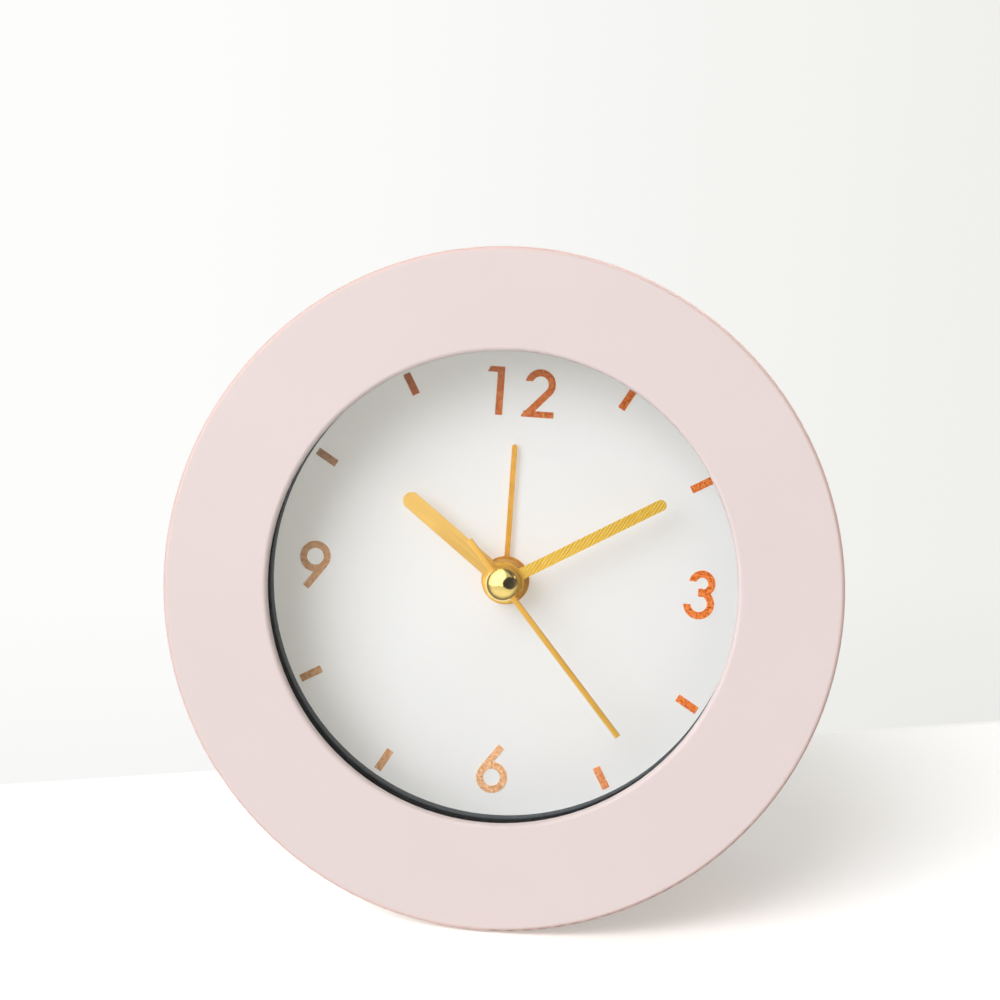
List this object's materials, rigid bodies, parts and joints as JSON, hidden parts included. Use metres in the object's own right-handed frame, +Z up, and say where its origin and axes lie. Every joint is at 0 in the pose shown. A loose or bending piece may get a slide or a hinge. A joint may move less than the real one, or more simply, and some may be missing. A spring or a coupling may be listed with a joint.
{
  "type": "desk alarm clock",
  "caption": "Round desk alarm clock: wide flat ring, recessed glass over a dial with hands, drum body with a quartz movement, battery, knobs and switch behind.",
  "frame": {"origin": "on the table, at the middle of the footprint's bounding box", "axes": "+Z up, the dial faces -Y and leans back 8 degrees, +X to the right as seen from the front"},
  "size_m": [0.1, 0.0608, 0.0993],
  "materials": {
    "pink_plastic": "satin painted",
    "clear_glass": "polished",
    "black_gloss": "gloss",
    "white_dial": "matt",
    "copper_foil": "mottled hot foil",
    "gold_satin": "fine satin",
    "gold_hatched": "hatched",
    "brass_polished": "polished",
    "pad_rubber": "matt",
    "black_plastic": "fine grain",
    "steel_screw": "zinc plated",
    "case_plastic": "moulded",
    "gear_plastic": "natural",
    "gear_brass": "machined",
    "magnet": "sintered",
    "motor_iron": "stamped",
    "bobbin_plastic": "moulded",
    "copper_wire": "wound enamelled wire",
    "contact_brass": "stamped",
    "contact_steel": "nickel plated",
    "board_laminate": "laminate",
    "black_resin": "potting resin",
    "cell_label": "printed sleeve",
    "cell_steel": "nickel plated"
  },
  "bodies": {
    "case": {"front_ring": "pink_plastic", "lens": "clear_glass", "spacer_ring": "black_gloss", "dial": "white_dial", "hour_numerals": "copper_foil", "hour_bars": "copper_foil", "rear_housing": "pink_plastic", "foot_pads": "pad_rubber", "back_cover": "black_plastic", "cover_screws": "steel_screw", "switch_contacts": "contact_brass", "movement_front_case": "case_plastic", "movement_rear_case": "case_plastic", "movement_screws": "steel_screw", "stator": "motor_iron", "coil_core": "motor_iron", "coil_bobbin": "bobbin_plastic", "coil_winding": "copper_wire", "alarm_contact_spring": "contact_brass", "buzzer": "black_resin", "circuit_board": "board_laminate", "drive_chip": "black_resin", "quartz_crystal": "contact_steel", "battery_contact_positive": "contact_steel", "battery_contact_negative": "contact_steel", "battery": "cell_label", "battery_cap": "cell_steel"},
    "seconds": {"second_hand": "gold_satin", "second_hand_cap": "brass_polished", "second_wheel": "gear_brass"},
    "minutes": {"minute_hand": "gold_hatched", "minute_wheel": "gear_plastic"},
    "hours": {"hour_hand": "gold_satin", "hour_wheel": "gear_plastic"},
    "third": {"third_wheel": "gear_plastic"},
    "fifth": {"fifth_wheel": "gear_plastic"},
    "rotor": {"rotor_pinion": "gear_plastic", "rotor_magnet": "magnet"},
    "motion": {"motion_wheel": "gear_plastic"},
    "time_setting": {"time_set_shaft": "gear_plastic", "time_knob": "black_plastic"},
    "alarm_setting": {"alarm_set_shaft": "gear_plastic", "alarm_knob": "black_plastic"},
    "alarm": {"alarm_hand": "gold_satin", "alarm_wheel": "gear_plastic"},
    "alarm_switch": {"alarm_switch_slider": "pink_plastic"},
    "door": {"battery_door": "black_plastic"}
  },
  "joints": [
    {"name": "seconds_turn", "type": "hinge", "parent": "case", "child": "seconds", "pos_m": [0, -0.01267, 0.04834], "axis": [0, 0.9903, -0.1392], "continuous": true},
    {"name": "minutes_turn", "type": "hinge", "parent": "case", "child": "minutes", "pos_m": [0, -0.01267, 0.04834], "axis": [0, 0.9903, -0.1392], "continuous": true},
    {"name": "hours_turn", "type": "hinge", "parent": "case", "child": "hours", "pos_m": [0, -0.01267, 0.04834], "axis": [0, 0.9903, -0.1392], "continuous": true},
    {"name": "third_turn", "type": "hinge", "parent": "case", "child": "third", "pos_m": [0.00767, -0.00336, 0.04421], "axis": [0, 0.9903, -0.1392], "continuous": true},
    {"name": "fifth_turn", "type": "hinge", "parent": "case", "child": "fifth", "pos_m": [-0.00778, -0.00336, 0.04417], "axis": [0, 0.9903, -0.1392], "continuous": true},
    {"name": "rotor_turn", "type": "hinge", "parent": "case", "child": "rotor", "pos_m": [-0.01351, -0.00392, 0.04019], "axis": [0, 0.9903, -0.1392], "continuous": true},
    {"name": "motion_turn", "type": "hinge", "parent": "case", "child": "motion", "pos_m": [0.0042, -0.00196, 0.05418], "axis": [0, 0.9903, -0.1392], "continuous": true},
    {"name": "time_setting_turn", "type": "hinge", "parent": "case", "child": "time_setting", "pos_m": [0.01209, 0.00755, 0.05574], "axis": [0, 0.9903, -0.1392], "continuous": true},
    {"name": "alarm_setting_turn", "type": "hinge", "parent": "case", "child": "alarm_setting", "pos_m": [-0.00619, 0.007, 0.05182], "axis": [0, 0.9903, -0.1392], "continuous": true},
    {"name": "alarm_turn", "type": "hinge", "parent": "case", "child": "alarm", "pos_m": [0, -0.01267, 0.04834], "axis": [0, 0.9903, -0.1392], "continuous": true},
    {"name": "alarm_switch_slide", "type": "slide", "parent": "case", "child": "alarm_switch", "axis": [1, 0, 0], "range_m": [0, 0.004]},
    {"name": "door_pull", "type": "slide", "parent": "case", "child": "door", "axis": [0, 0.9903, -0.1392], "range_m": [0, 0.02]}
  ],
  "couplings": [
    {"joint": "minutes_turn", "follows": "seconds_turn", "ratio": 0.016667},
    {"joint": "hours_turn", "follows": "seconds_turn", "ratio": 0.0013889},
    {"joint": "third_turn", "follows": "seconds_turn", "ratio": -0.125},
    {"joint": "fifth_turn", "follows": "seconds_turn", "ratio": -5},
    {"joint": "rotor_turn", "follows": "seconds_turn", "ratio": 30},
    {"joint": "motion_turn", "follows": "seconds_turn", "ratio": -0.0055556},
    {"joint": "time_setting_turn", "follows": "seconds_turn", "ratio": 0.016667},
    {"joint": "alarm_turn", "follows": "alarm_setting_turn", "ratio": -0.25}
  ]
}
